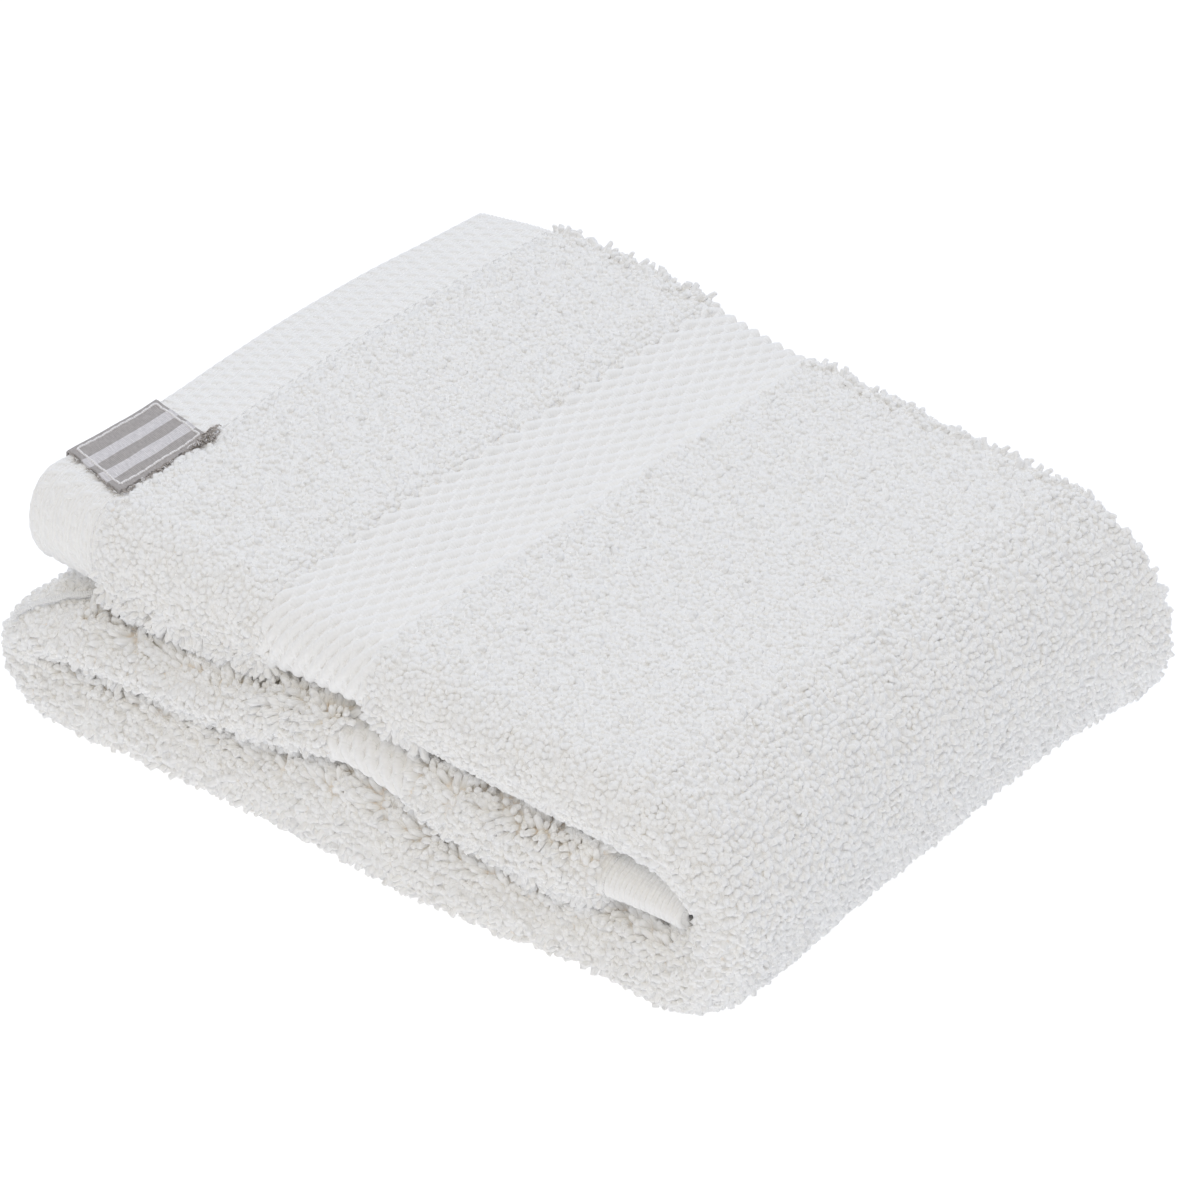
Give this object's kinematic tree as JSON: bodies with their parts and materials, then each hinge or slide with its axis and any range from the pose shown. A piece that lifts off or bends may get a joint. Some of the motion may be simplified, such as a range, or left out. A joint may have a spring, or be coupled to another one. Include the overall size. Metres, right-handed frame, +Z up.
{
  "type": "folded terry hand towel",
  "caption": "Thick white terry towel folded lengthwise in half and then in three, with a flat woven border band, a ribbed hem and a small grey label.",
  "frame": {"origin": "centre of the bounding box's bottom face, on the surface that the towel lies on", "axes": "+X from the labelled hem towards the round fold, +Y from the long front fold towards the open edges, +Z up"},
  "size_m": [0.198, 0.1564, 0.0613],
  "materials": {
    "cotton_terry": "looped cotton pile, flat woven border and ribbed hem",
    "woven_label": "woven satin with paler bands"
  },
  "bodies": {
    "root": {"towel": "cotton_terry", "label": "woven_label"}
  },
  "joints": []
}
